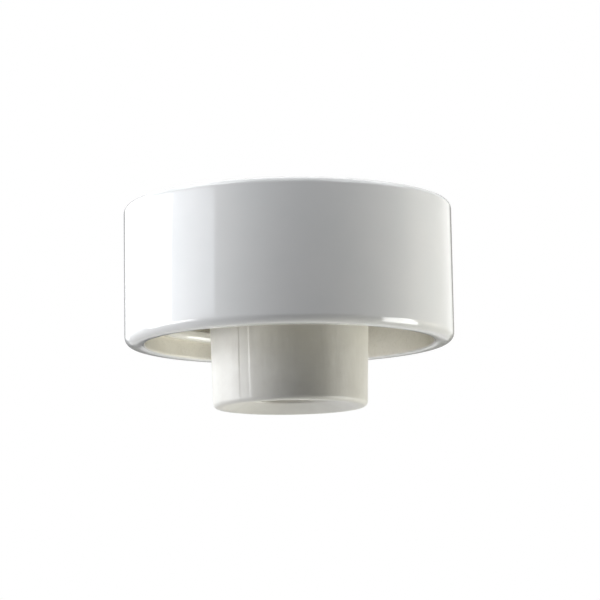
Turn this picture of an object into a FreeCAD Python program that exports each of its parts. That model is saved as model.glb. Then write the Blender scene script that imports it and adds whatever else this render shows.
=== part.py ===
import FreeCAD, Part
import math
import os

from FreeCAD import Vector

# Ceiling lamp holder: a glazed porcelain base with a thread for a glass globe, and a satin
# porcelain socket for a screw-cap lamp in its middle.
# The origin is the centre of the ceiling face, +Z points up into the ceiling, and the lamp
# goes in from below. Every size is in millimetres.

# Base, outside
base_radius = 50.0
base_height = 42.4
rim_outer_round = 2.65
rim_inner_round = 1.0
ceiling_edge_round = 2.0

# Base, rear wiring chamber, deck and globe pocket
chamber_wall = 7.5
chamber_depth = 14.0
chamber_bevel = 1.0
deck_thickness = 5.5
pocket_wall = 6.17
pocket_bevel = 1.5

# Globe thread inside the pocket, for a glass neck of 84.5 mm
thread_height = 2.83
thread_band = 3.2
thread_edge_round = 0.8
thread_lead = 6.0
thread_turns = 1.25
thread_start_angle = 100.0
thread_middle_offset = 0.1
thread_root_bury = 0.8
thread_ramp_angle = 30.0
thread_step_angle = 7.5

# Ceiling fixing slots in their pillars
fixing_inset = 10.0
fixing_slot_width = 5.2
fixing_slot_length = 9.0
pillar_wall = 3.4

# Cable entry and its grommet
entry_radius = 5.0
entry_floor_play = 1.1
entry_seat_depth = 2.0
entry_flange_radius = 6.1
entry_flange_thickness = 1.4
grommet_bore = 3.3
grommet_lip_radius = 5.9
grommet_lip_thickness = 1.6

# Terminal opening, through the deck and down into the socket
opening_end_play = 1.0
opening_side_play = 1.8
opening_corner = 6.0

# Socket
socket_drop = 19.1
socket_mouth_radius = 23.37
socket_draft = 1.5
socket_seat_depth = 2.0
socket_seat_clearance = 0.35
socket_gasket_thickness = 0.8
mouth_lip_width = 2.97
mouth_dish_depth = 2.7
mouth_outer_round = 0.6
bore_clearance = 0.1
bore_below_shell = 3.6
well_depth = 5.7
web_thickness = 7.0

# Screw shell for the lamp cap
shell_inner_radius = 13.3
shell_wall = 0.4
shell_plate = 0.5
shell_plate_hole = 7.5
shell_flare = 0.2
shell_flare_length = 0.6
shell_corner_bevel = 0.8
shell_shoulder = 3.2
shell_draw = 0.4

# Shell screws, spring washers and nuts
shell_screw_radius = 1.3
shell_screw_inset = 3.1
shell_screw_head_radius = 2.2
shell_screw_head = 1.6
shell_nut_flats = 5.0
shell_nut_height = 2.0
shell_washer_radius = 2.4
shell_washer_thickness = 0.6
shell_washer_split = 0.5

# Centre contact, its guide cup and its spring
contact_button_radius = 2.6
contact_tip_proud = 1.75
contact_dome = 0.8
contact_collar_play = 0.3
contact_collar = 0.95
contact_stem_radius = 1.5
contact_stem_reach = 2.2
contact_travel = 2.0
contact_rest_gap = 0.05
cup_inner_radius = 4.1
cup_wall = 0.5
cup_flange_width = 0.8
cup_recess = 0.8
spring_wire = 0.45
spring_mean_radius = 2.75
spring_turns = 4
spring_steps_per_turn = 16
spring_section_sides = 6

# Terminal straps, rivets, clamping screws and plates
strap_thickness = 0.8
strap_width = 7.0
strap_end_margin = 0.2
neutral_band = 5.6
strap_air_gap = 2.0
rivet_radius = 1.2
rivet_head_radius = 2.0
rivet_head = 0.7
rivet_wall = 0.3
rivet_gap = 0.4
neutral_rivet_angle = 135.0
rivet_recess_radius = 2.3
rivet_recess_depth = 3.5
terminal_screw_radius = 1.7
terminal_head_radius = 3.0
terminal_head = 2.2
terminal_screw_reach = 2.6
terminal_pocket_radius = 2.2
terminal_pocket_depth = 4.0
clamp_plate_side = 6.4
clamp_plate_thickness = 1.0

# Screws that hold the socket to the deck
socket_screw_place = 19.5
socket_screw_radius = 1.7
socket_screw_head_radius = 3.2
socket_screw_head = 2.4
socket_screw_reach = 1.5
socket_washer_radius = 4.2
socket_washer_thickness = 0.8
socket_nut_side = 5.5
socket_nut_height = 2.4
nut_slot_side_play = 0.15
nut_slot_roof_play = 0.2

# Globe gasket
globe_gasket_gap = 1.83
globe_gasket_width = 4.0
globe_gasket_thickness = 2.5

# Clearances and small shared sizes
screw_clearance = 0.25
thread_clearance = 0.05
running_clearance = 0.06
seat_clearance = 0.1
driver_slot_width = 0.8
driver_slot_depth = 0.9
cut_past = 1.0

# Levels and radii that follow from the sizes above
chamber_radius = base_radius - chamber_wall
pocket_radius = base_radius - pocket_wall
thread_crest_radius = pocket_radius - thread_height
fixing_place = chamber_radius - fixing_inset
deck_top = -chamber_depth
deck_low = deck_top - deck_thickness
rim_level = -base_height
globe_gasket_low = deck_low - globe_gasket_thickness
thread_rise = thread_lead * thread_turns
thread_middle = (rim_level + globe_gasket_low) / 2 + thread_middle_offset
thread_start_level = thread_middle - thread_rise / 2
entry_level = deck_top + grommet_lip_radius + entry_floor_play
entry_seat = base_radius - entry_seat_depth
grommet_lip_at = math.sqrt(chamber_radius ** 2 - grommet_lip_radius ** 2) - seat_clearance
socket_mouth_level = rim_level - socket_drop
socket_draft_slope = math.tan(math.radians(socket_draft))
seat_level = deck_low + socket_seat_depth
socket_top = seat_level - socket_gasket_thickness
socket_top_radius = socket_mouth_radius + (socket_top - socket_mouth_level) * socket_draft_slope
seat_radius = socket_top_radius + socket_seat_clearance
mouth_lip_radius = socket_mouth_radius - mouth_lip_width
shell_outer_radius = shell_inner_radius + shell_wall
bore_radius = shell_outer_radius + shell_flare + bore_clearance
bore_low = socket_mouth_level + mouth_dish_depth
web_top = socket_top - well_depth
web_low = web_top - web_thickness
shell_low = bore_low + bore_below_shell
shell_screw_place = shell_inner_radius - shell_screw_inset
contact_collar_radius = cup_inner_radius - contact_collar_play
cup_flange_radius = cup_inner_radius + cup_wall + cup_flange_width
rivet_place = cup_flange_radius + rivet_wall + rivet_recess_radius
terminal_place = rivet_place + rivet_head_radius + rivet_gap + clamp_plate_side / 2
strap_top = web_top + strap_thickness
strap_end = terminal_place + clamp_plate_side / 2 + strap_end_margin
opening_length = 2 * (strap_end + opening_end_play)
opening_width = 2 * (shell_screw_place + shell_nut_flats / 2 + opening_side_play)
cup_low = web_low + cup_recess
contact_rest_level = cup_low + cup_wall + contact_rest_gap
contact_tip_level = cup_low - contact_travel - contact_tip_proud
spring_low = contact_rest_level + contact_collar
neutral_inner = shell_screw_place - neutral_band / 2
neutral_outer = shell_screw_place + neutral_band / 2
line_eye_radius = neutral_inner - strap_air_gap
nut_slot_top = web_top + socket_nut_height + nut_slot_roof_play


def disc(radius, low, high, x=0.0, y=0.0):
    """Round bar about a line parallel to Z."""
    return Part.makeCylinder(radius, high - low, Vector(x, y, low))


def ring(outer, inner, low, high, x=0.0, y=0.0):
    """Round bar with a round hole right through it."""
    hole = disc(inner, low - cut_past, high + cut_past, x, y)
    return disc(outer, low, high, x, y).cut(hole)


def block(size_x, size_y, low, high, x=0.0, y=0.0):
    """Upright block, centred on x and y."""
    corner = Vector(x - size_x / 2, y - size_y / 2, low)
    return Part.makeBox(size_x, size_y, high - low, corner)


def rounded_block(size_x, size_y, corner, low, high):
    """Upright block about the Z axis with rounded vertical edges."""
    solid = block(size_x, size_y, low, high)
    upright = [edge for edge in solid.Edges if abs(edge.tangentAt(edge.FirstParameter).z) > 0.99]
    return solid.makeFillet(corner, upright)


def oblong(length, width, low, high, x=0.0):
    """Round-ended bar along X, of the given overall length and width."""
    straight = length - width
    middle = block(straight, width, low, high, x)
    ends = [disc(width / 2, low, high, x + side * straight / 2) for side in (-1, 1)]
    return middle.multiFuse(ends).removeSplitter()


def turned(outline):
    """Solid of revolution about Z from an outline of (radius, level) points."""
    points = [Vector(radius, 0, level) for radius, level in outline]
    wire = Part.makePolygon(points + points[:1])
    return Part.Face(wire).revolve(Vector(0, 0, 0), Vector(0, 0, 1), 360)


def is_ring(edge, radius, level):
    """True for a circular edge about the Z axis with this radius and level."""
    if not isinstance(edge.Curve, Part.Circle):
        return False
    centre = edge.Curve.Center
    on_axis = math.hypot(centre.x, centre.y) < 0.001
    return on_axis and abs(centre.z - level) < 0.001 and abs(edge.Curve.Radius - radius) < 0.001


def round_edge(solid, radius, level, size):
    """Rounds the circular edge about Z that has this radius and level."""
    edges = [edge for edge in solid.Edges if is_ring(edge, radius, level)]
    return solid.makeFillet(size, edges)


def mirrored_pair(make):
    """Two like pieces, one on each side of the axis."""
    return [make(side) for side in (-1, 1)]


def driver_slot(face, way, radius, x, y):
    """Cutter for a screwdriver slot in a head's outer face, which looks up if way is 1."""
    low = face - driver_slot_depth if way > 0 else face - cut_past
    high = low + driver_slot_depth + cut_past
    return block(driver_slot_width, 2 * radius + cut_past, low, high, x, y)


def base_shell():
    """The base as turned: outer wall, deck, wiring chamber above and globe pocket below."""
    outline = [
        (chamber_radius, 0),
        (base_radius, 0),
        (base_radius, rim_level),
        (pocket_radius, rim_level),
        (pocket_radius, deck_low - pocket_bevel),
        (pocket_radius - pocket_bevel, deck_low),
        (0, deck_low),
        (0, deck_top),
        (chamber_radius - chamber_bevel, deck_top),
        (chamber_radius, deck_top + chamber_bevel),
    ]
    solid = turned(outline)
    solid = round_edge(solid, base_radius, rim_level, rim_outer_round)
    solid = round_edge(solid, pocket_radius, rim_level, rim_inner_round)
    return round_edge(solid, base_radius, 0, ceiling_edge_round)


def thread_section(turned_by):
    """Section of the globe thread this far along it: a band with rounded edges, rooted in the wall."""
    middle = thread_start_level + thread_lead * turned_by / 360
    low = middle - thread_band / 2
    high = middle + thread_band / 2
    root = pocket_radius + thread_root_bury
    crest = thread_crest_radius
    turn = thread_edge_round
    shoulder = turn * (1 - math.sqrt(0.5))
    low_root = Vector(root, 0, low)
    low_in = Vector(crest + turn, 0, low)
    low_mid = Vector(crest + shoulder, 0, low + shoulder)
    low_out = Vector(crest, 0, low + turn)
    high_out = Vector(crest, 0, high - turn)
    high_mid = Vector(crest + shoulder, 0, high - shoulder)
    high_in = Vector(crest + turn, 0, high)
    high_root = Vector(root, 0, high)
    edges = [
        Part.LineSegment(low_root, low_in).toShape(),
        Part.Arc(low_in, low_mid, low_out).toShape(),
        Part.LineSegment(low_out, high_out).toShape(),
        Part.Arc(high_out, high_mid, high_in).toShape(),
        Part.LineSegment(high_in, high_root).toShape(),
        Part.LineSegment(high_root, low_root).toShape(),
    ]
    section = Part.Wire(edges)
    section.rotate(Vector(0, 0, 0), Vector(0, 0, 1), thread_start_angle + turned_by)
    return section


def thread_ramp(angle, level, way):
    """Cutter that runs one end of the globe thread out into the wall at a shallow slope."""
    reach = 4 * (pocket_radius - thread_crest_radius)
    low_side = 0 if way > 0 else -reach
    cutter = Part.makeBox(2 * reach, reach, 2 * thread_band, Vector(-reach, low_side, level - thread_band))
    cutter.rotate(Vector(0, 0, 0), Vector(0, 0, 1), angle + way * (90 + thread_ramp_angle))
    turn = math.radians(angle)
    cutter.translate(Vector(pocket_radius * math.cos(turn), pocket_radius * math.sin(turn), 0))
    return cutter


def globe_thread():
    """The moulded right-hand thread that the glass globe is screwed into."""
    whole_turn = 360 * thread_turns
    steps = round(whole_turn / thread_step_angle)
    sections = [thread_section(whole_turn * step / steps) for step in range(steps + 1)]
    ridge = Part.makeLoft(sections, True, True)
    ridge = ridge.cut(thread_ramp(thread_start_angle, thread_start_level, 1))
    return ridge.cut(thread_ramp(thread_start_angle + whole_turn, thread_start_level + thread_rise, -1))


def fixing_pillar(side):
    """Round-ended pillar that carries a fixing slot from the deck to the ceiling face."""
    grown = 2 * pillar_wall
    length = fixing_slot_length + grown
    return oblong(length, fixing_slot_width + grown, deck_top, 0, side * fixing_place)


def fixing_slot(side):
    """Slot through the deck and its pillar for a ceiling screw."""
    low = deck_low - cut_past
    return oblong(fixing_slot_length, fixing_slot_width, low, cut_past, side * fixing_place)


def socket_screw_hole(side):
    """Clearance hole through the deck for a socket screw."""
    radius = socket_screw_radius + screw_clearance
    return disc(radius, deck_low - cut_past, deck_top + cut_past, 0, side * socket_screw_place)


def entry_round(radius, near, far):
    """Round bar along Y at the cable entry, between two distances from the axis."""
    return Part.makeCylinder(radius, far - near, Vector(0, near, entry_level), Vector(0, 1, 0))


def entry_cutters():
    """The cable entry hole and the sunk seat of the grommet's outer flange."""
    through = entry_round(entry_radius, chamber_radius - 2 * cut_past, base_radius + cut_past)
    seat = entry_round(entry_flange_radius + seat_clearance, entry_seat, base_radius + cut_past)
    return [through, seat]


def opening_cutter(low, high):
    """Cutter for the terminal opening between two levels."""
    return rounded_block(opening_length, opening_width, opening_corner, low, high)


def base_body():
    """Glazed porcelain base, moulded in one piece."""
    solid = base_shell().multiFuse(mirrored_pair(fixing_pillar))
    cutters = mirrored_pair(fixing_slot) + mirrored_pair(socket_screw_hole) + entry_cutters()
    cutters.append(opening_cutter(deck_low - cut_past, deck_top + cut_past))
    cutters.append(disc(seat_radius, deck_low - cut_past, seat_level))
    solid = solid.cut(cutters)
    return solid.fuse(globe_thread())


def cable_grommet():
    """Rubber grommet in the cable entry: outer flange, neck and a lip inside the chamber."""
    lip_end = grommet_lip_at - grommet_lip_thickness
    flange_end = entry_seat + entry_flange_thickness
    neck = entry_round(entry_radius - seat_clearance, grommet_lip_at, entry_seat)
    flange = entry_round(entry_flange_radius, entry_seat, flange_end)
    lip = entry_round(grommet_lip_radius, lip_end, grommet_lip_at)
    bore = entry_round(grommet_bore, lip_end - cut_past, flange_end + cut_past)
    return neck.multiFuse([flange, lip]).cut(bore).removeSplitter()


def socket_turned():
    """The socket as turned: tapered outside, dished mouth and the bore for the shell."""
    outline = [
        (0, web_low),
        (bore_radius, web_low),
        (bore_radius, bore_low),
        (mouth_lip_radius, socket_mouth_level),
        (socket_mouth_radius, socket_mouth_level),
        (socket_top_radius, socket_top),
        (0, socket_top),
    ]
    return round_edge(turned(outline), socket_mouth_radius, socket_mouth_level, mouth_outer_round)


def nut_slot(side):
    """Slot in the wall of the terminal opening that a square nut slides into."""
    width = socket_nut_side + 2 * nut_slot_side_play
    near = opening_width / 2 - cut_past
    far = socket_screw_place + width / 2
    return block(width, far - near, web_top, nut_slot_top, 0, side * (near + far) / 2)


def socket_screw_well(side):
    """Blind hole in the socket for the end of a socket screw."""
    radius = socket_screw_radius + screw_clearance
    low = web_top - 2 * socket_screw_reach
    return disc(radius, low, socket_top + cut_past, 0, side * socket_screw_place)


def rivet_points():
    """Where the two straps are riveted to the web."""
    turn = math.radians(neutral_rivet_angle)
    on_line = (rivet_place, 0.0)
    on_neutral = (shell_screw_place * math.cos(turn), shell_screw_place * math.sin(turn))
    return [on_line, on_neutral]


def web_cutters():
    """Holes in the web for the cup, the shell screws, the rivets and the terminal screws."""
    cup_hole = disc(cup_inner_radius + cup_wall + thread_clearance, web_low - cut_past, web_top + cut_past)
    cup_seat = disc(cup_flange_radius + seat_clearance, web_top - cup_wall, web_top + cut_past)
    cutters = [cup_hole, cup_seat]
    for side in (-1, 1):
        hole = shell_screw_radius + screw_clearance
        cutters.append(disc(hole, web_low - cut_past, web_top + cut_past, 0, side * shell_screw_place))
        pocket_low = web_top - terminal_pocket_depth
        cutters.append(disc(terminal_pocket_radius, pocket_low, web_top + cut_past, side * terminal_place))
    for x, y in rivet_points():
        cutters.append(disc(rivet_radius + thread_clearance, web_low - cut_past, web_top + cut_past, x, y))
        cutters.append(disc(rivet_recess_radius, web_low - cut_past, web_low + rivet_recess_depth, x, y))
    return cutters


def socket_body():
    """Satin porcelain socket, moulded in one piece."""
    cutters = web_cutters() + mirrored_pair(nut_slot) + mirrored_pair(socket_screw_well)
    cutters.append(opening_cutter(web_top, socket_top + cut_past))
    return socket_turned().cut(cutters)


def screw_shell():
    """Screw shell of the lamp cap: a sleeve with a holed end plate, a drawn-in end and a flared mouth."""
    outer = shell_outer_radius
    neck = outer - shell_draw
    low = shell_low
    shoulder_low = web_low - shell_shoulder
    flare_from = low + shell_flare_length
    outline = [
        (shell_plate_hole, web_low),
        (neck - shell_corner_bevel, web_low),
        (neck, web_low - shell_corner_bevel),
        (outer, shoulder_low),
        (outer, flare_from),
        (outer + shell_flare, low),
        (shell_inner_radius + shell_flare, low),
        (shell_inner_radius, flare_from),
        (shell_inner_radius, shoulder_low),
        (neck - shell_wall, web_low - shell_corner_bevel),
        (neck - shell_corner_bevel, web_low - shell_plate),
        (shell_plate_hole, web_low - shell_plate),
    ]
    hole = shell_screw_radius + seat_clearance
    holes = []
    for side in (-1, 1):
        holes.append(disc(hole, web_low - cut_past, web_low + cut_past, 0, side * shell_screw_place))
    return turned(outline).cut(holes)


def shell_stack(side):
    """Level that the washer of this shell screw rests on: the neutral strap or the web."""
    return strap_top if side > 0 else web_top


def shell_screw(side):
    """Cheese-head screw up through the shell's end plate and the web."""
    y = side * shell_screw_place
    under_head = web_low - shell_plate
    head_end = under_head - shell_screw_head
    shank_end = strap_top + shell_nut_height + 2 * shell_washer_thickness
    head = disc(shell_screw_head_radius, head_end, under_head, 0, y)
    shank = disc(shell_screw_radius, under_head, shank_end, 0, y)
    return head.fuse(shank).cut(driver_slot(head_end, -1, shell_screw_head_radius, 0, y))


def shell_washer(side):
    """Split spring washer below a shell nut."""
    y = side * shell_screw_place
    low = shell_stack(side)
    high = low + shell_washer_thickness
    whole = ring(shell_washer_radius, shell_screw_radius + seat_clearance, low, high, 0, y)
    reach = shell_washer_radius + cut_past
    split = block(reach, shell_washer_split, low - cut_past, high + cut_past, reach / 2, y)
    return whole.cut(split)


def hexagon(flats, low, high, x, y):
    """Six-sided prism of this width across flats."""
    corner = flats / 2 / math.cos(math.radians(30))
    angles = [math.radians(60 * step) for step in range(7)]
    points = [Vector(x + corner * math.cos(turn), y + corner * math.sin(turn), low) for turn in angles]
    return Part.Face(Part.makePolygon(points)).extrude(Vector(0, 0, high - low))


def shell_nut(side):
    """Hexagon nut of a shell screw."""
    y = side * shell_screw_place
    low = shell_stack(side) + shell_washer_thickness
    high = low + shell_nut_height
    bore = disc(shell_screw_radius + thread_clearance, low - cut_past, high + cut_past, 0, y)
    return hexagon(shell_nut_flats, low, high, 0, y).cut(bore)


def contact_cup():
    """Drawn brass cup in the web that guides the plunger and holds it in."""
    outer = cup_inner_radius + cup_wall
    mouth = contact_button_radius + running_clearance
    outline = [
        (cup_inner_radius, web_top),
        (cup_flange_radius, web_top),
        (cup_flange_radius, web_top - cup_wall),
        (outer, web_top - cup_wall),
        (outer, cup_low),
        (mouth, cup_low),
        (mouth, cup_low + cup_wall),
        (cup_inner_radius, cup_low + cup_wall),
    ]
    return turned(outline)


def centre_contact():
    """Plunger with a domed button, a collar that the spring bears on, and a guide stem."""
    dome_radius = (contact_button_radius ** 2 + contact_dome ** 2) / (2 * contact_dome)
    ball = Part.makeSphere(dome_radius, Vector(0, 0, contact_tip_level + dome_radius))
    dome_edge = contact_tip_level + contact_dome
    dome = disc(contact_button_radius, contact_tip_level, dome_edge).common(ball)
    button = disc(contact_button_radius, dome_edge, contact_rest_level)
    collar = disc(contact_collar_radius, contact_rest_level, spring_low)
    stem = disc(contact_stem_radius, spring_low, strap_top + contact_stem_reach)
    return dome.multiFuse([button, collar, stem]).removeSplitter()


def spring_section(turned_by, level):
    """Six-sided section of the spring wire, standing upright at this angle round the coil."""
    points = []
    for side in range(spring_section_sides):
        angle = 2 * math.pi * side / spring_section_sides
        out = spring_mean_radius + spring_wire / 2 * math.cos(angle)
        points.append(Vector(out, 0, level + spring_wire / 2 * math.sin(angle)))
    section = Part.makePolygon(points + points[:1])
    section.rotate(Vector(0, 0, 0), Vector(0, 0, 1), turned_by)
    return section


def contact_spring():
    """Coil spring between the plunger's collar and the line strap, its ends ground flat."""
    steps = spring_turns * spring_steps_per_turn
    first = spring_low + spring_wire / 4
    rise = web_top - spring_low - spring_wire / 2
    sections = []
    for step in range(steps + 1):
        sections.append(spring_section(360 * step / spring_steps_per_turn, first + rise * step / steps))
    coil = Part.makeLoft(sections, True, True)
    return coil.common(disc(2 * spring_mean_radius, spring_low, web_top))


def line_strap():
    """Brass strap over the cup, from the centre contact to the line terminal."""
    eye = disc(line_eye_radius, web_top, strap_top)
    tab = block(strap_end, strap_width, web_top, strap_top, strap_end / 2)
    strap = eye.fuse(tab)
    low = web_top - cut_past
    high = strap_top + cut_past
    stem_hole = disc(contact_stem_radius + running_clearance, low, high)
    rivet_hole = disc(rivet_radius + thread_clearance, low, high, rivet_place)
    screw_hole = disc(terminal_screw_radius + thread_clearance, low, high, terminal_place)
    return strap.cut([stem_hole, rivet_hole, screw_hole]).removeSplitter()


def neutral_strap():
    """Brass strap that bends from a shell screw round the cup to the neutral terminal."""
    low = web_top
    high = strap_top
    reach = neutral_outer + cut_past
    quarter = block(reach, reach, low, high, -reach / 2, reach / 2)
    bend = ring(neutral_outer, neutral_inner, low, high).common(quarter)
    eye = disc(neutral_band / 2, low, high, 0, shell_screw_place)
    tab_length = strap_end - shell_screw_place
    tab = block(tab_length, strap_width, low, high, -shell_screw_place - tab_length / 2)
    strap = bend.multiFuse([eye, tab])
    x, y = rivet_points()[1]
    holes = [
        disc(shell_screw_radius + seat_clearance, low - cut_past, high + cut_past, 0, shell_screw_place),
        disc(rivet_radius + thread_clearance, low - cut_past, high + cut_past, x, y),
        disc(terminal_screw_radius + thread_clearance, low - cut_past, high + cut_past, -terminal_place),
    ]
    return strap.cut(holes).removeSplitter()


def strap_rivet(x, y):
    """Rivet through a strap and the web, its lower head sunk above the shell."""
    lower = web_low + rivet_recess_depth
    shank = disc(rivet_radius, lower, strap_top, x, y)
    lower_head = disc(rivet_head_radius, lower - rivet_head, lower, x, y)
    upper_head = disc(rivet_head_radius, strap_top, strap_top + rivet_head, x, y)
    return shank.multiFuse([lower_head, upper_head])


def clamp_plate(side):
    """Square plate that presses a wire on the strap."""
    x = side * terminal_place
    high = strap_top + clamp_plate_thickness
    hole = disc(terminal_screw_radius + seat_clearance, strap_top - cut_past, high + cut_past, x)
    return block(clamp_plate_side, clamp_plate_side, strap_top, high, x).cut(hole)


def terminal_screw(side):
    """Cheese-head wire clamping screw, threaded into the strap."""
    x = side * terminal_place
    under_head = strap_top + clamp_plate_thickness
    top = under_head + terminal_head
    shank = disc(terminal_screw_radius, web_top - terminal_screw_reach, under_head, x)
    head = disc(terminal_head_radius, under_head, top, x)
    return shank.fuse(head).cut(driver_slot(top, 1, terminal_head_radius, x, 0))


def socket_washer(side):
    """Fibre washer between a socket screw's head and the deck."""
    y = side * socket_screw_place
    high = deck_top + socket_washer_thickness
    return ring(socket_washer_radius, socket_screw_radius + seat_clearance, deck_top, high, 0, y)


def socket_screw(side):
    """Long cheese-head screw through the deck into the socket's captive nut."""
    y = side * socket_screw_place
    under_head = deck_top + socket_washer_thickness
    top = under_head + socket_screw_head
    shank = disc(socket_screw_radius, web_top - socket_screw_reach, under_head, 0, y)
    head = disc(socket_screw_head_radius, under_head, top, 0, y)
    return shank.fuse(head).cut(driver_slot(top, 1, socket_screw_head_radius, 0, y))


def socket_nut(side):
    """Square nut, pulled up against the roof of its slot."""
    y = side * socket_screw_place
    low = nut_slot_top - socket_nut_height
    bore = disc(socket_screw_radius + thread_clearance, low - cut_past, nut_slot_top + cut_past, 0, y)
    return block(socket_nut_side, socket_nut_side, low, nut_slot_top, 0, y).cut(bore)


def socket_gasket():
    """Thin fibre ring between the socket's top face and its seat in the deck."""
    solid = disc(socket_top_radius, socket_top, seat_level)
    low = socket_top - cut_past
    high = seat_level + cut_past
    cutters = [opening_cutter(low, high)]
    for side in (-1, 1):
        cutters.append(disc(socket_screw_radius + screw_clearance, low, high, 0, side * socket_screw_place))
    return solid.cut(cutters)


def globe_gasket():
    """Rubber ring on the deck that the rim of the glass globe closes on."""
    outer = pocket_radius - globe_gasket_gap
    return ring(outer, outer - globe_gasket_width, globe_gasket_low, deck_low)


def save(name, solids):
    """Writes one node: a single solid, or a group of like ones."""
    shape = solids if isinstance(solids, Part.Shape) else Part.makeCompound(solids)
    shape.exportStep(os.path.join("parts", name + ".step"))
    print(name, "solids", len(shape.Solids), "volume", round(shape.Volume, 2), "valid", shape.isValid())


os.makedirs("parts", exist_ok=True)
save("base_body", base_body())
save("socket_body", socket_body())
save("screw_shell", screw_shell())
save("shell_screws", mirrored_pair(shell_screw))
save("shell_washers", mirrored_pair(shell_washer))
save("shell_nuts", mirrored_pair(shell_nut))
save("centre_contact", centre_contact())
save("contact_spring", contact_spring())
save("contact_cup", contact_cup())
save("line_strap", line_strap())
save("neutral_strap", neutral_strap())
save("strap_rivets", [strap_rivet(x, y) for x, y in rivet_points()])
save("clamp_plates", mirrored_pair(clamp_plate))
save("terminal_screws", mirrored_pair(terminal_screw))
save("socket_screws", mirrored_pair(socket_screw))
save("socket_screw_washers", mirrored_pair(socket_washer))
save("socket_nuts", mirrored_pair(socket_nut))
save("socket_gasket", socket_gasket())
save("globe_gasket", globe_gasket())
save("cable_grommet", cable_grommet())
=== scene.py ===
# %% [markdown]
# # A porcelain ceiling lamp holder
# The object is a short white porcelain drum that is screwed to a ceiling. Inside it a round pocket
# takes the neck of a glass globe, and in the middle a second piece of porcelain holds the screw
# shell for the lamp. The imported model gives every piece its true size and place, so this lesson
# only adds what the eye sees: smooth turned forms, rolled and cut threads, and the finishes.

# %% Load the fixed frame
import math

import bmesh
import bpy
from mathutils import Matrix, Quaternion, Vector


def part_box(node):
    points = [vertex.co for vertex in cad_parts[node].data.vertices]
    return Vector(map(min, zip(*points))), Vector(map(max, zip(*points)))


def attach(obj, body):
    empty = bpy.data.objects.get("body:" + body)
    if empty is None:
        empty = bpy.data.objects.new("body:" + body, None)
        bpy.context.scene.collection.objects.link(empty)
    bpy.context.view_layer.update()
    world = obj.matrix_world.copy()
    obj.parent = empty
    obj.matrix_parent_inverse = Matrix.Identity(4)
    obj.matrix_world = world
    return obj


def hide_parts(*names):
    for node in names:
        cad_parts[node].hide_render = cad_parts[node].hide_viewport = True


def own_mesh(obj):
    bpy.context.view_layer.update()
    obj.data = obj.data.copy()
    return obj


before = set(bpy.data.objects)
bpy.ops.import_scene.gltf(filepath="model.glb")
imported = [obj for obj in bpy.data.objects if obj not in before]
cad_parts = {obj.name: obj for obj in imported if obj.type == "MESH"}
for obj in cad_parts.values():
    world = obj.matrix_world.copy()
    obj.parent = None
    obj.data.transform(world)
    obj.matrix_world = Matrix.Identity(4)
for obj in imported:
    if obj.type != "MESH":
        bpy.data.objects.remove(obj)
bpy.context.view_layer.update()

# %% [markdown]
# ## Sizes
# All places are in metres, in the frame's own axes: +Z points up into the ceiling and the lamp
# comes in from below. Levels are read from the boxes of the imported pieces, so the dressed pieces
# can't drift away from the solids. Walls that a box can't show are named here.

# %% Read the levels and radii that everything else is worked out from
mm = 0.001
tau = 2 * math.pi
base_low, base_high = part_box("base_body")
socket_low, socket_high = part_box("socket_body")
shell_low, shell_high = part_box("screw_shell")
base_radius = (base_high[0] - base_low[0]) / 2
rim_level = base_low[2]
mouth_level = socket_low[2]
socket_top = socket_high[2]
web_low = shell_high[2]
pocket_radius = 43.83 * mm
chamber_radius = 42.5 * mm
chamber_depth = 14.0 * mm
deck_low = -19.5 * mm
deck_top = -chamber_depth
print("base radius, rim and mouth in mm",
      [round(length / mm, 2) for length in (base_radius, rim_level, mouth_level)])

# %% [markdown]
# ## A turned form
# Both porcelain pieces are round, so each starts as half of its section: a chain of a few vertices.
# Bevelling a corner vertex of that chain gives the corner its rounding, and one spin about the Z
# axis turns the chain into a solid. Doing the rounding before the spin keeps the mesh even, and an
# even mesh is what makes a clean reflection on a glossy glaze.

# %% Make an object of a finished form
sharp_from = math.radians(35)


def new_piece(name, bm):
    """Finishes a bmesh as an object: normals outwards, smooth faces, sharp real edges."""
    bmesh.ops.recalc_face_normals(bm, faces=bm.faces)
    for face in bm.faces:
        face.smooth = True
    mesh = bpy.data.meshes.new(name)
    bm.to_mesh(mesh)
    bm.free()
    mesh.set_sharp_from_angle(angle=sharp_from)
    piece = bpy.data.objects.new(name, mesh)
    bpy.context.scene.collection.objects.link(piece)
    print(name, len(mesh.polygons), "faces")
    return piece


def shift(bm, x, y, z):
    """Moves everything in a bmesh."""
    bmesh.ops.translate(bm, verts=bm.verts, vec=(x, y, z))


def rotate(bm, angle, axis):
    """Turns everything in a bmesh about an axis through the origin."""
    bmesh.ops.rotate(bm, verts=bm.verts, cent=(0, 0, 0), matrix=Matrix.Rotation(angle, 3, axis))


print("edges sharper than", round(math.degrees(sharp_from)), "degrees stay sharp")

# %% Draw half a section and turn it
glaze_steps = 256
corner_segments = 8
same_point = 0.001 * mm


def round_corner(bm, vert, rounding):
    """Rounds one corner of a chain with an arc of this radius."""
    towards = [(edge.other_vert(vert).co - vert.co).normalized() for edge in vert.link_edges]
    half = towards[0].angle(towards[1]) / 2
    bmesh.ops.bevel(bm, geom=[vert], offset=rounding / math.tan(half), affect="VERTICES",
                    segments=corner_segments, profile=0.5, material=-1)


def chain(bm, points, closed=True):
    """A chain of edges through (radius, level, rounding) points in the plane Y = 0."""
    verts = [bm.verts.new((radius, 0, level)) for radius, level, rounding in points]
    follow = verts[1:] + verts[:1] if closed else verts[1:]
    for first, second in zip(verts, follow):
        if first.co.x > 0 or second.co.x > 0:
            bm.edges.new((first, second))
    for vert, (radius, level, rounding) in zip(verts, points):
        if rounding > 0:
            round_corner(bm, vert, rounding)


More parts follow.
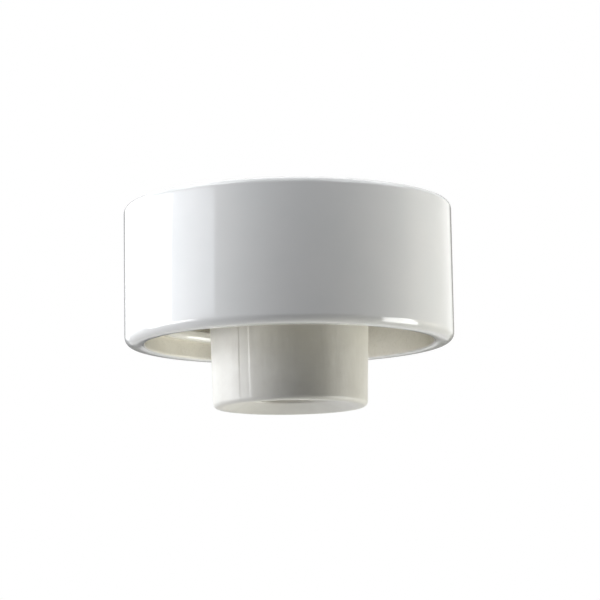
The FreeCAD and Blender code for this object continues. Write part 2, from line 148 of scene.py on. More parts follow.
def turn_about_axis(bm, steps):
    """Turns everything in the bmesh a full turn about Z and closes the seam and the poles."""
    bmesh.ops.spin(bm, geom=bm.verts[:] + bm.edges[:], cent=(0, 0, 0), axis=(0, 0, 1),
                   angle=tau, steps=steps, use_merge=True)
    bmesh.ops.remove_doubles(bm, verts=bm.verts, dist=same_point)
    bmesh.ops.dissolve_degenerate(bm, edges=bm.edges, dist=same_point / 2)


def turned(points, steps=glaze_steps):
    """A bmesh turned from a closed chain of points."""
    bm = bmesh.new()
    chain(bm, points)
    turn_about_axis(bm, steps)
    return bm


flat_error = base_radius * (1 - math.cos(math.pi / glaze_steps))
print("the turned base departs from a true circle by", round(flat_error / mm, 4), "mm")

# %% [markdown]
# ## Cutting with solid tools
# Slots, the terminal opening and the cable entry aren't round about the axis. On the real base
# they are cores in the mould. Here each is a small closed form, and an exact Boolean takes it out
# of the turned body or adds it. The result is read back as a plain mesh, so nothing stays live.

# %% Add and cut closed forms
past = 1.0 * mm
bar_sides = 64


def keep_result(piece):
    """Turns a piece's live modifiers into its mesh."""
    bpy.context.view_layer.update()
    depsgraph = bpy.context.evaluated_depsgraph_get()
    mesh = bpy.data.meshes.new_from_object(piece.evaluated_get(depsgraph))
    piece.modifiers.clear()
    piece.data = mesh
    for face in mesh.polygons:
        face.use_smooth = True
    mesh.set_sharp_from_angle(angle=sharp_from)


def combine(piece, tool_bm, operation):
    """Adds or cuts a closed form with an exact Boolean."""
    tool = new_piece(piece.name + "_tool", tool_bm)
    modifier = piece.modifiers.new("shape", "BOOLEAN")
    modifier.operation = operation
    modifier.solver = "EXACT"
    modifier.object = tool
    keep_result(piece)
    bpy.data.objects.remove(tool)


def together(*parts):
    """Puts several bmeshes into one."""
    whole = bmesh.new()
    for part in parts:
        mesh = bpy.data.meshes.new("part")
        part.to_mesh(mesh)
        part.free()
        whole.from_mesh(mesh)
        bpy.data.meshes.remove(mesh)
    return whole


def pair(make):
    """The same form on both sides of the axis."""
    return together(*[make(side) for side in (-1, 1)])


print("cutting tools reach", past / mm, "mm past the faces that they cut")


# %% Make prisms and bars
def lift(bm, low, high):
    """Makes the flat outline in the bmesh a closed prism between two levels."""
    shift(bm, 0, 0, low)
    grown = bmesh.ops.extrude_face_region(bm, geom=bm.faces[:], use_keep_orig=True)
    top = [item for item in grown["geom"] if isinstance(item, bmesh.types.BMVert)]
    bmesh.ops.translate(bm, verts=top, vec=(0, 0, high - low))


def oblong(length, width, low, high, x):
    """A round-ended prism along X."""
    bm = bmesh.new()
    bmesh.ops.create_circle(bm, cap_ends=True, segments=bar_sides, radius=width / 2)
    right = [vert for vert in bm.verts if vert.co.x > 0]
    left = [vert for vert in bm.verts if vert.co.x <= 0]
    bmesh.ops.translate(bm, verts=right, vec=((length - width) / 2, 0, 0))
    bmesh.ops.translate(bm, verts=left, vec=((width - length) / 2, 0, 0))
    lift(bm, low, high)
    shift(bm, x, 0, 0)
    return bm


def rounded_block(length, width, corner, low, high, x=0.0, y=0.0):
    """A prism with a rounded rectangle for its outline."""
    bm = bmesh.new()
    bmesh.ops.create_grid(bm, x_segments=1, y_segments=1, size=0.5)
    bmesh.ops.scale(bm, verts=bm.verts, vec=(length, width, 1))
    if corner > 0:
        bmesh.ops.bevel(bm, geom=bm.verts[:], offset=corner, affect="VERTICES",
                        segments=corner_segments, profile=0.5, material=-1)
    lift(bm, low, high)
    shift(bm, x, y, 0)
    return bm


def bar(radius, low, high, x=0.0, y=0.0, segments=bar_sides):
    """A round bar along Z."""
    bm = bmesh.new()
    bmesh.ops.create_cone(bm, cap_ends=True, segments=segments, radius1=radius, radius2=radius,
                          depth=high - low)
    shift(bm, x, y, (low + high) / 2)
    return bm


def laid_back(bm, level):
    """Turns a form that stands on Z so that it points along +Y, through this level."""
    rotate(bm, -tau / 4, "X")
    shift(bm, 0, 0, level)
    return bm


print("round bars have", bar_sides, "sides")

# %% [markdown]
# ## The porcelain base
# The real base is pressed or cast in one piece and glazed. Its section has a straight outer wall,
# a full rounding at the lower rim, a pocket for the globe below the deck and a wiring chamber
# above it. The whole section is drawn as one chain, so the wall, the deck and both floors meet
# without a seam.

# %% Turn the base
rim_outer_round = 2.65 * mm
rim_inner_round = 1.0 * mm
ceiling_round = 2.0 * mm
chamber_round = 0.8 * mm
deck_round = 1.2 * mm
seat_round = 0.3 * mm
seat_level = deck_low + 2.0 * mm
seat_radius = 24.85 * mm

base = new_piece("porcelain_base", turned([
    (chamber_radius, 0, chamber_round),
    (base_radius, 0, ceiling_round),
    (base_radius, rim_level, rim_outer_round),
    (pocket_radius, rim_level, rim_inner_round),
    (pocket_radius, deck_low, deck_round),
    (seat_radius, deck_low, seat_round),
    (seat_radius, seat_level, seat_round),
    (0, seat_level, 0),
    (0, deck_top, 0),
    (chamber_radius, deck_top, chamber_round),
]))

# %% [markdown]
# ## Pillars, slots and openings
# Two pillars carry the fixing slots up to the ceiling. They are added first, and then the openings
# are cut in two goes, so that no two tools overlap. The cutters of the terminal opening and of the
# screw holes are functions, because the socket and its gasket are cut by the same ones.

# %% Add the pillars and cut the openings
fixing_place = 32.5 * mm
slot_length = 9.0 * mm
slot_width = 5.2 * mm
pillar_wall = 3.4 * mm
pillar_length = slot_length + 2 * pillar_wall
pillar_width = slot_width + 2 * pillar_wall
opening_length = 36.0 * mm
opening_width = 29.0 * mm
opening_corner = 6.0 * mm
socket_screw_place = 19.5 * mm
socket_screw_hole = 1.95 * mm
entry_level = -7.0 * mm
entry_radius = 5.0 * mm
entry_seat = base_radius - 2.0 * mm
entry_seat_radius = 6.2 * mm


def terminal_opening(low, high):
    """The cutter of the wide opening that leads from the chamber to the terminals."""
    return rounded_block(opening_length, opening_width, opening_corner, low, high)


def socket_screw_holes(low, high):
    """The cutters of the two holes for the long screws."""
    return [bar(socket_screw_hole, low, high, 0, side * socket_screw_place) for side in (1, -1)]


combine(base, together(*[
    oblong(pillar_length, pillar_width, deck_top - past, 0, side * fixing_place) for side in (-1, 1)
]), "UNION")
combine(base, together(
    *[oblong(slot_length, slot_width, deck_low - past, past, side * fixing_place)
      for side in (1, -1)],
    terminal_opening(deck_low - past, deck_top + past),
    *socket_screw_holes(deck_low - past, deck_top + past),
    laid_back(bar(entry_radius, chamber_radius - 2 * past, base_radius + past), entry_level),
), "DIFFERENCE")
combine(base, laid_back(bar(entry_seat_radius, entry_seat, base_radius + past), entry_level),
        "DIFFERENCE")
print("base faces", len(base.data.polygons))

# %% [markdown]
# ## Softened edges
# Glaze never leaves a knife edge: it draws back and rounds every arris. A narrow bevel on all the
# sharp edges gives that, with an angle limit so that the turned roundings stay as they are.

# %% Soften the cut edges
bevel_from = math.radians(50)


def soften(piece, width):
    """Rounds the sharp edges of a piece."""
    modifier = piece.modifiers.new("arris", "BEVEL")
    modifier.width = width
    modifier.segments = 2
    modifier.limit_method = "ANGLE"
    modifier.angle_limit = bevel_from
    modifier.use_clamp_overlap = True
    keep_result(piece)


glaze_arris = 0.3 * mm
soften(base, glaze_arris)
print("base faces after softening", len(base.data.polygons))

# %% [markdown]
# ## The globe thread
# The thread for the glass is a single blunt ridge, a turn and a quarter long, moulded with the
# wall. Its section is a small chain with two rounded corners. Spin takes a rise for each step, so
# the same operator that turns a ring also winds a screw. At both ends the ridge runs out into the
# wall, which is a smooth change of its depth.

# %% Wind a section about the axis
def wind(bm, angle, steps, rise=0.0):
    """Sweeps a section about Z, with a rise over the whole way, and closes its open ends."""
    bmesh.ops.spin(bm, geom=bm.verts[:] + bm.edges[:], cent=(0, 0, 0), axis=(0, 0, 1),
                   angle=angle, steps=steps, dvec=(0, 0, rise / steps))
    bmesh.ops.holes_fill(bm, edges=[edge for edge in bm.edges if edge.is_boundary], sides=0)


def set_radius(vert, radius, wanted):
    """Moves a point at one distance from the axis to another."""
    vert.co.x *= wanted / radius
    vert.co.y *= wanted / radius


thread_crest = 41.0 * mm
thread_half = 1.6 * mm
thread_edge = 0.8 * mm
thread_low_edge = 1.5 * mm
thread_lead = 6.0 * mm
thread_turns = 1.25
thread_steps = 300
thread_start = math.radians(100)
thread_level = rim_level + 6.55 * mm
thread_root = pocket_radius + 0.8 * mm

bm = bmesh.new()
chain(bm, [
    (thread_root, -thread_half, 0),
    (thread_crest, -thread_half, thread_low_edge),
    (thread_crest, thread_half, thread_edge),
    (thread_root, thread_half, 0),
])
rotate(bm, thread_start, "Z")
shift(bm, 0, 0, thread_level)
wind(bm, tau * thread_turns, thread_steps, thread_lead * thread_turns)
print("thread ridge", len(bm.faces), "faces")

# %% Run the ridge out at both ends and join it to the wall
run_out = 0.035
sunk_radius = pocket_radius + 0.05 * mm


def thread_turn(co):
    """How many turns along the thread this point lies."""
    angle = (math.atan2(co.y, co.x) - thread_start) % tau / tau
    passes = round((co.z - thread_level) / thread_lead - angle)
    return angle + passes


for vert in bm.verts:
    radius = math.hypot(vert.co.x, vert.co.y)
    if radius < pocket_radius:
        turn = thread_turn(vert.co)
        share = min(max(min(turn, thread_turns - turn), 0) / run_out, 1)
        share = share * share * (3 - 2 * share)
        set_radius(vert, radius, sunk_radius - (sunk_radius - radius) * share)
combine(base, bm, "UNION")
print("base faces with the thread", len(base.data.polygons))

# %% [markdown]
# ## The porcelain socket
# The socket is a second moulding: a slightly tapered tube with a dished mouth that leads the lamp
# in, a web across it that carries the contacts, and an opening above the web for the terminals. It
# isn't glazed, so its grain shows, and its edges are only lightly broken.

# %% Turn the socket
socket_mouth_radius = 23.37 * mm
socket_top_radius = (socket_high[0] - socket_low[0]) / 2
lip_radius = 20.4 * mm
lip_round = 0.8 * mm
dish_depth = 2.7 * mm
dish_round = 0.6 * mm
mouth_round = 1.4 * mm
bore_radius = 14.0 * mm
bore_round = 0.5 * mm
top_round = 0.3 * mm
satin_steps = 192

socket = new_piece("porcelain_socket", turned([
    (0, web_low, 0),
    (bore_radius, web_low, bore_round),
    (bore_radius, mouth_level + dish_depth, dish_round),
    (lip_radius, mouth_level, lip_round),
    (socket_mouth_radius, mouth_level, mouth_round),
    (socket_top_radius, socket_top, top_round),
    (0, socket_top, 0),
], steps=satin_steps))

# %% [markdown]
# ## Holes in the web
# The web is full of holes: one for the contact cup, two below the terminal screws, and two blind
# ones for the rivet heads. The slots for the square nuts open into the terminal opening, so that a
# nut can be slid in from the middle and can't turn. They start a hundredth of a millimetre above
# the web, because two cuts that share a plane can leave a sliver.

# %% Cut the socket's openings
web_top = web_low + 7.0 * mm
terminal_place = 13.6 * mm
terminal_hole = 2.2 * mm
terminal_hole_low = web_top - 4.0 * mm
socket_hole_low = web_top - 3.0 * mm
cup_hole = 4.65 * mm
shell_screw_place = 10.2 * mm
neutral_rivet = shell_screw_place * math.sqrt(0.5)
rivet_places = [(8.0 * mm, 0.0), (-neutral_rivet, neutral_rivet)]
rivet_hole = 2.3 * mm
rivet_seat = web_low + 3.5 * mm
nut_slot_width = 5.8 * mm
nut_slot_low = web_top + 0.01 * mm
nut_roof = web_top + 2.6 * mm
nut_slot_near = opening_width / 2 - past
nut_slot_far = socket_screw_place + nut_slot_width / 2
nut_slot_long = nut_slot_far - nut_slot_near
nut_slot_middle = (nut_slot_near + nut_slot_far) / 2

combine(socket, together(
    terminal_opening(web_top, socket_top + past),
    *socket_screw_holes(socket_hole_low, socket_top + past),
), "DIFFERENCE")
combine(socket, together(
    bar(cup_hole, web_low - past, web_top + past),
    *[bar(terminal_hole, terminal_hole_low, web_top + past, side * terminal_place)
      for side in (1, -1)],
    *[bar(rivet_hole, web_low - past, rivet_seat, x, y) for x, y in rivet_places],
    *[rounded_block(nut_slot_width, nut_slot_long, 0, nut_slot_low, nut_roof, 0,
                    side * nut_slot_middle) for side in (-1, 1)],
), "DIFFERENCE")
satin_arris = 0.2 * mm
soften(socket, satin_arris)
print("socket faces", len(socket.data.polygons))

# %% [markdown]
# ## The screw shell
# A lamp cap's shell is drawn from thin brass, nickel-plated, and the thread is rolled into it. The
# sleeve is turned with many rings, and each ring's points move in and out with the angle, which is
# what rolling does to the sheet. Solidify then gives the sheet its thickness.

# %% Roll a thread into a turned form
def roll_thread(bm, pitch, depth, low, high, fade, inner, outer):
    """Moves the points between two radii in and out as a rolled thread does, right-hand."""
    for vert in bm.verts:
        radius = math.hypot(vert.co.x, vert.co.y)
        share = min(vert.co.z - low, high - vert.co.z) / fade
        if inner < radius < outer and share > 0:
            turn = vert.co.z / pitch - math.atan2(vert.co.y, vert.co.x) / tau
            wave = 0.5 - 0.5 * math.cos(tau * turn)
            set_radius(vert, radius, radius - depth * min(share, 1) * wave)


def ring_rows(bm, low, high, cuts):
    """Divides the upright line between two levels of a chain, for the rings of a thread."""
    levels = {round(low, 7), round(high, 7)}
    upright = [edge for edge in bm.edges if {round(vert.co.z, 7) for vert in edge.verts} == levels]
    bmesh.ops.subdivide_edges(bm, edges=upright, cuts=cuts)


cap_pitch = 3.629 * mm
print("the lamp's thread has", round(25.4 * mm / cap_pitch, 2), "turns to the inch")

# %% [markdown]
# ## Drawing the sleeve
# The shell's section isn't closed: it is one line from the hole in its top over the shoulder and
# down to the flared mouth. It is turned as a skin without thickness, rolled, and then thickened, so
# that both sides of the sheet follow the thread.

# %% Draw the sleeve and roll its thread
cap_thread_depth = 0.95 * mm
cap_thread_fade = 1.6 * mm
shell_rings = 84
shell_steps = 160
shell_wall = 0.4 * mm
shell_hole = 7.5 * mm
shell_shoulder_round = 0.9 * mm
shell_outer = (shell_high[0] - shell_low[0]) / 2
shell_mouth = shell_low[2]
sleeve = shell_outer - 0.2 * mm
shoulder = web_low - 3.2 * mm
flare_level = shell_mouth + 0.6 * mm

bm = bmesh.new()
chain(bm, [
    (shell_hole, web_low, 0),
    (sleeve - shell_wall, web_low, shell_shoulder_round),
    (sleeve, shoulder, 0),
    (sleeve, flare_level, 0),
    (shell_outer, shell_mouth, 0),
], closed=False)
ring_rows(bm, shoulder, flare_level, shell_rings)
turn_about_axis(bm, shell_steps)
roll_thread(bm, cap_pitch, cap_thread_depth, flare_level + shell_wall, shoulder, cap_thread_fade,
            12 * mm, 14 * mm)
bmesh.ops.recalc_face_normals(bm, faces=bm.faces)
bmesh.ops.solidify(bm, geom=bm.faces[:], thickness=-shell_wall)
for vert in bm.verts:
    vert.co.z = max(vert.co.z, shell_mouth)
shell = new_piece("nickel_screw_shell", bm)
print("shell box in mm", [tuple(round(v / mm, 2) for v in corner) for corner in (shell_low, shell_high)])

# %% [markdown]
# ## Slotted screws
# Small screws are cold-headed, so each is a short chain with its corners broken. The shanks carry a
# fine cut thread, made with the same rolling step as the shell. The driver slot is milled in with a
# Boolean. Both copies of a pair stay one object, as they are one group.

# %% Make a pair of cheese-head screws
driver_slot_width = 0.8 * mm
driver_slot_depth = 0.9 * mm
shank_chamfer = 0.25 * mm
rings_per_turn = 5


def moved(bm, x, y, flip=False):
    """Puts a turned form at a place, upside down about level 0 if it is flipped."""
    if flip:
        rotate(bm, tau / 2, "X")
    shift(bm, x, y, 0)
    return bm


def both_ways(x, y):
    """A place and the one opposite."""
    return [(x, y), (-x, -y)]


def cheese_screws(name, places, under_head, head_radius, head, shank_radius, shank_end, pitch,
                  flip=False):
    """Slotted cheese-head screws with their heads up, or down if they are flipped."""
    way = -1 if flip else 1
    under, end, top = under_head * way, shank_end * way, under_head * way + head
    copies, slots = [], []
    for x, y in places:
        bm = bmesh.new()
        chain(bm, [
            (0, end, 0),
            (shank_radius - shank_chamfer, end, 0),
            (shank_radius, end + shank_chamfer, 0),
            (shank_radius, under, 0),
            (head_radius, under, 0.12 * mm),
            (head_radius, top, 0.3 * mm),
            (0, top, 0),
        ])
        ring_rows(bm, end + shank_chamfer, under, round((under - end) / pitch * rings_per_turn))
        turn_about_axis(bm, 40)
        roll_thread(bm, pitch, 0.3 * pitch, end - pitch, under, pitch,
                    0.8 * shank_radius, 1.01 * shank_radius)
        slot = rounded_block(driver_slot_width, 3 * head_radius, 0, top - driver_slot_depth, top + past)
        copies.append(moved(bm, x, y, flip))
        slots.append(moved(slot, x, y, flip))
    piece = new_piece(name, together(*copies))
    combine(piece, together(*slots), "DIFFERENCE")
    return piece


# %% [markdown]
# ## Three pairs of screws
# The shell's screws hang with their heads down inside the shell and hold it to the web. The
# terminal screws stand on their clamping plates, and the long socket screws stand on fibre washers
# on the deck.

# %% Put in the three pairs of screws
strap_top = web_top + 0.8 * mm
clamp_top = strap_top + 1.0 * mm
shell_plate = 0.5 * mm
fibre_top = deck_top + 0.8 * mm
shell_screws = cheese_screws(
    "shell_screw_pair", both_ways(0, shell_screw_place), under_head=web_low - shell_plate,
    head_radius=2.2 * mm, head=1.6 * mm, shank_radius=1.3 * mm, shank_end=strap_top + 3.2 * mm,
    pitch=0.45 * mm, flip=True)
terminal_screws = cheese_screws(
    "terminal_screw_pair", both_ways(terminal_place, 0), under_head=clamp_top,
    head_radius=3.0 * mm, head=2.2 * mm, shank_radius=1.7 * mm, shank_end=web_top - 2.6 * mm,
    pitch=0.6 * mm)
socket_screws = cheese_screws(
    "socket_screw_pair", both_ways(0, socket_screw_place), under_head=fibre_top,
    head_radius=3.2 * mm, head=2.4 * mm, shank_radius=1.7 * mm, shank_end=web_top - 1.5 * mm,
    pitch=0.7 * mm)

# %% [markdown]
# ## Nuts
# The long screws end in pressed square nuts that lie captive in slots of the socket. The shell's
# screws carry hexagon nuts. A nut is an outline lifted to its thickness with a hole cut through it,
# and a narrow bevel breaks its edges.

# %% Make the nuts
nut_height = 2.4 * mm
square_width = 5.5 * mm
square_corner = 0.2 * mm
square_bore = 1.75 * mm
hexagon_width = 5.0 * mm
hexagon_height = 2.0 * mm
hexagon_bore = 1.35 * mm
washer_thickness = 0.6 * mm


def bored(outline, bore, low, high, x, y):
    """A flat part with a round hole through it."""
    plate = new_piece("plate", outline)
    combine(plate, bar(bore, low - past, high + past, x, y, 48), "DIFFERENCE")
    bm = bmesh.new()
    bm.from_mesh(plate.data)
    bpy.data.objects.remove(plate)
    return bm


def washer_seat(side):
    """The neutral strap lies below one of the shell's nuts, and the bare web below the other."""
    return strap_top if side > 0 else web_top


def square_nut(side):
    """A pressed square nut below the roof of its slot."""
    low, y = nut_roof - nut_height, side * socket_screw_place
    blank = rounded_block(square_width, square_width, square_corner, low, nut_roof, 0, y)
    return bored(blank, square_bore, low, nut_roof, 0, y)


def hexagon_nut(side):
    """A hexagon nut on its spring washer."""
    low, y = washer_seat(side) + washer_thickness, side * shell_screw_place
    bm = bmesh.new()
    bmesh.ops.create_circle(bm, cap_ends=True, segments=6, radius=hexagon_width / math.sqrt(3))
    rotate(bm, tau / 4, "Z")
    lift(bm, low, low + hexagon_height)
    shift(bm, 0, y, 0)
    return bored(bm, hexagon_bore, low, low + hexagon_height, 0, y)


socket_nuts = new_piece("square_nut_pair", pair(square_nut))
soften(socket_nuts, 0.15 * mm)
shell_nuts = new_piece("hexagon_nut_pair", pair(hexagon_nut))
soften(shell_nuts, 0.12 * mm)
print("nut faces", len(socket_nuts.data.polygons), len(shell_nuts.data.polygons))

# %% [markdown]
# ## Washers and rivets
# A spring washer is a ring of square wire, cut through and pressed flat by its nut, so its section
# is wound a little less than a full turn. The fibre washers are punched. The rivets that hold the
# straps have a domed lower head, and their upper head is turned over on the strap.

# %% Make the washers and the rivets
washer_gap = math.radians(8)
fibre_radius = 4.2 * mm
rivet_head_radius = 2.0 * mm
rivet_head = 0.7 * mm
rivet_shank = 1.2 * mm


def flat_ring(inner, outer, low, high, edge):
    """The section of a flat ring with its outer edges broken."""
    bm = bmesh.new()
    chain(bm, [(inner, low, 0), (outer, low, edge), (outer, high, edge), (inner, high, 0)])
    return bm


def spring_washer(side):
    """A split ring of square wire, bent flat by its nut."""
    low = washer_seat(side)
    bm = flat_ring(1.42 * mm, 2.4 * mm, low, low + washer_thickness, 0.08 * mm)
    rotate(bm, washer_gap, "Z")
    wind(bm, tau - 2 * washer_gap, 48)
    return moved(bm, 0, side * shell_screw_place)


def fibre_washer(side):
    """A punched fibre washer on the deck."""
    bm = flat_ring(1.8 * mm, fibre_radius, deck_top, fibre_top, 0.15 * mm)
    turn_about_axis(bm, 64)
    return moved(bm, 0, side * socket_screw_place)


def rivet(x, y):
    """A rivet with a domed lower head and a turned-over upper head."""
    bm = bmesh.new()
    chain(bm, [
        (0, rivet_seat - rivet_head, 0),
        (rivet_head_radius, rivet_seat - rivet_head, 0.55 * mm),
        (rivet_head_radius, rivet_seat, 0),
        (rivet_shank, rivet_seat, 0),
        (rivet_shank, strap_top, 0),
        (rivet_head_radius, strap_top, 0),
        (rivet_head_radius, strap_top + rivet_head, 0.5 * mm),
        (0, strap_top + rivet_head, 0),
    ])
    turn_about_axis(bm, 48)
    return moved(bm, x, y)


shell_washers = new_piece("spring_washer_pair", pair(spring_washer))
socket_washers = new_piece("fibre_washer_pair", pair(fibre_washer))
rivets = new_piece("strap_rivet_pair", together(*[rivet(x, y) for x, y in rivet_places]))

# %% [markdown]
# ## The contact cup
# The cup is drawn from brass sheet. Its flange lies on the web, its wall guides the plunger's
# collar, and the hole in its floor lets the contact button through to the lamp.

# %% Draw the cup
cup_low = web_low + 0.8 * mm
cup_wall = 0.5 * mm
cup_inner = 4.1 * mm
cup_outer = cup_inner + cup_wall
cup_flange = 5.4 * mm
cup_opening = 2.66 * mm
cup = new_piece("brass_contact_cup", turned([
    (cup_inner, web_top, 0.2 * mm),
    (cup_flange, web_top, 0.1 * mm),
    (cup_flange, web_top - cup_wall, 0.1 * mm),
    (cup_outer, web_top - cup_wall, 0),
    (cup_outer, cup_low, 0.45 * mm),
    (cup_opening, cup_low, 0.08 * mm),
    (cup_opening, cup_low + cup_wall, 0.08 * mm),
    (cup_inner, cup_low + cup_wall, 0),
], steps=96))

# %% [markdown]
# ## The centre contact
# The plunger is a turned brass pin. Its domed button touches the lamp's tip, its collar carries the
# spring, and its stem is guided by the line strap. A dome is an arc through the pole, so one vertex
# is spun about the dome's centre to draw that arc, and the rest of the section is joined to it.

# %% Turn the plunger
contact_low, contact_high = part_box("centre_contact")
collar_low = cup_low + 0.55 * mm
collar_high = collar_low + 0.95 * mm
collar_radius = 3.8 * mm
stem_radius = 1.5 * mm
dome_height = 0.8 * mm
button_radius = 2.6 * mm
dome_radius = (button_radius ** 2 + dome_height ** 2) / (2 * dome_height)

bm = bmesh.new()
tip = bm.verts.new((0, 0, contact_low[2]))
arc = bmesh.ops.spin(bm, geom=[tip], cent=(0, 0, contact_low[2] + dome_radius), axis=(0, -1, 0),
                     angle=math.asin(button_radius / dome_radius), steps=12)
dome_edge = [item for item in arc["geom_last"] if isinstance(item, bmesh.types.BMVert)][0]
chain(bm, [
    (button_radius, dome_edge.co.z, 0),
    (button_radius, collar_low, 0),
    (collar_radius, collar_low, 0.15 * mm),
    (collar_radius, collar_high, 0.15 * mm),
    (stem_radius, collar_high, 0),
    (stem_radius, contact_high[2], 0.3 * mm),
    (0, contact_high[2], 0),
], closed=False)
bmesh.ops.remove_doubles(bm, verts=bm.verts, dist=same_point)
turn_about_axis(bm, 96)
plunger = new_piece("brass_centre_contact", bm)
print("dome radius", round(dome_radius / mm, 2), "mm")

# %% [markdown]
# ## The straps
# Both straps are stamped from brass sheet. One leads from the cup to the line terminal, and the
# other bends round from a shell screw to the neutral terminal. Each is made of simple blanks that
# overlap, cut to the thickness of one sheet, and then the holes are punched. The blanks have unlike
# heights, because an exact Boolean is surest where no two faces lie in one plane.

# %% Stamp a strap
sheet_low, sheet_high = web_top - past, strap_top + past
strap_width = 7.0 * mm
strap_corner = 0.6 * mm
strap_screw_hole = 1.75 * mm
strap_rivet_hole = 1.25 * mm


def stamped(name, blanks, punches):
    """Joins blanks of unlike heights, cuts them to one sheet's thickness and punches the holes."""
    piece = new_piece(name, blanks[0])
    for blank in blanks[1:]:
        combine(piece, blank, "UNION")
    combine(piece, rounded_block(60 * mm, 60 * mm, 0, web_top, strap_top), "INTERSECT")
    combine(piece, together(*punches), "DIFFERENCE")
    return piece


line_length = 17.0 * mm
stem_hole = 1.56 * mm
line_strap = stamped("brass_line_strap", [
    rounded_block(line_length, strap_width, strap_corner, sheet_low, sheet_high, line_length / 2),
    bar(cup_flange, sheet_low - past, sheet_high + past, segments=96),
], [
    bar(stem_hole, sheet_low, sheet_high),
    bar(strap_rivet_hole, sheet_low, sheet_high, *rivet_places[0]),
    bar(strap_screw_hole, sheet_low, sheet_high, terminal_place),
])

# %% [markdown]
# ## The bent strap
# The neutral strap runs round the cup at an even distance. Its bend is a flat section wound by a
# quarter of a turn, with a round eye at one end and a straight end at the other. The eye stands a
# hundredth of a millimetre aside, so that its outline doesn't touch the bend's end exactly.

# %% Bend and stamp the neutral strap
eye_radius = 2.8 * mm
eye_shift = 0.01 * mm
end_length = 6.8 * mm
bend_inner, bend_outer = shell_screw_place - eye_radius, shell_screw_place + eye_radius
bend = bmesh.new()
chain(bend, [
    (bend_inner, sheet_low, 0),
    (bend_outer, sheet_low, 0),
    (bend_outer, sheet_high, 0),
    (bend_inner, sheet_high, 0),
])
rotate(bend, tau / 4, "Z")
wind(bend, tau / 4, 32)
neutral_strap = stamped("brass_neutral_strap", [
    bend,
    bar(eye_radius, sheet_low - past, sheet_high + past, eye_shift, shell_screw_place),
    rounded_block(end_length, strap_width, strap_corner, sheet_low - 2 * past,
                  sheet_high + 2 * past, -terminal_place),
], [
    bar(1.4 * mm, sheet_low, sheet_high, 0, shell_screw_place),
    bar(strap_rivet_hole, sheet_low, sheet_high, *rivet_places[1]),
    bar(strap_screw_hole, sheet_low, sheet_high, -terminal_place),
])
print("neutral strap", len(neutral_strap.data.polygons), "faces")

# %% [markdown]
# ## The clamping plates
# Each wire is held below a square plate that the terminal screw presses down. The plates are
# pressed, so their corners are round, and all the sheet parts get a lightly broken edge.

# %% Press the plates and break the edges
clamp_width = 6.4 * mm
clamp_corner = 0.7 * mm
clamp_bore = 1.8 * mm


def clamp_plate(side):
    """A pressed square plate below a terminal screw's head."""
    x = side * terminal_place
    plate = rounded_block(clamp_width, clamp_width, clamp_corner, strap_top, clamp_top, x)
    return bored(plate, clamp_bore, strap_top, clamp_top, x, 0)


clamp_plates = new_piece("clamp_plate_pair", pair(clamp_plate))
sheet_arris = 0.12 * mm
for piece in (line_strap, neutral_strap, clamp_plates):
    soften(piece, sheet_arris)
    print(piece.name, "softened,", len(piece.data.polygons), "faces")

# %% [markdown]
# ## The contact spring
# The spring is hard-drawn wire wound on a mandrel, with both ends ground flat. A wire section is
# spun four turns with a rise for each step, and what stands past the ground ends is cut away. The
# lower end is ground a hundredth of a millimetre short, so that it stays clear of the moving
# collar.

# %% Wind the spring
spring_low, spring_high = (corner[2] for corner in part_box("contact_spring"))
wire = 0.45 * mm
coil_radius = 2.75 * mm
coil_turns = 4
coil_steps = 160
ground_play = 0.01 * mm
cutter_radius = 6.0 * mm
bm = bmesh.new()
bmesh.ops.create_circle(bm, cap_ends=True, segments=12, radius=wire / 2)
rotate(bm, tau / 4, "X")
shift(bm, coil_radius, 0, spring_low + wire / 4)
wind(bm, tau * coil_turns, coil_steps, spring_high - spring_low - wire / 2)
spring = new_piece("wound_contact_spring", bm)
combine(spring, bar(cutter_radius, spring_low + ground_play, spring_high), "INTERSECT")
print("spring height", round((spring_high - spring_low) / mm, 3), "mm")

# %% [markdown]
# ## Gaskets
# The globe ring is moulded rubber with a shallow groove, so that it gives two sealing lips. The
# ring between the socket and the base is punched fibre with the same holes as the parts that it
# lies between.

# %% Make the gaskets
gasket_low, gasket_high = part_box("globe_gasket")
gasket_level = gasket_low[2]
gasket_outer = gasket_high[0]
gasket_inner = gasket_outer - 4 * mm
groove = gasket_outer - 2 * mm
groove_half = 0.8 * mm
groove_depth = 0.6 * mm
lip_edge = 0.5 * mm
groove_edge = 0.3 * mm
back_edge = 0.2 * mm
globe_gasket = new_piece("rubber_globe_gasket", turned([
    (gasket_inner, gasket_level, lip_edge),
    (groove - groove_half, gasket_level, groove_edge),
    (groove, gasket_level + groove_depth, groove_edge),
    (groove + groove_half, gasket_level, groove_edge),
    (gasket_outer, gasket_level, lip_edge),
    (gasket_outer, deck_low, back_edge),
    (gasket_inner, deck_low, back_edge),
], steps=satin_steps))

socket_gasket = new_piece("fibre_socket_gasket", bar(
    socket_top_radius, socket_top, seat_level, segments=satin_steps))
combine(socket_gasket, together(
    terminal_opening(socket_top - past, seat_level + past),
    *socket_screw_holes(socket_top - past, seat_level + past),
), "DIFFERENCE")

# %% [markdown]
# ## The cable grommet
# The grommet keeps the cable off the edge of the hole. It is one soft ring with a lip on each side
# of the wall, turned like the other round parts and then laid on its side in the cable entry.

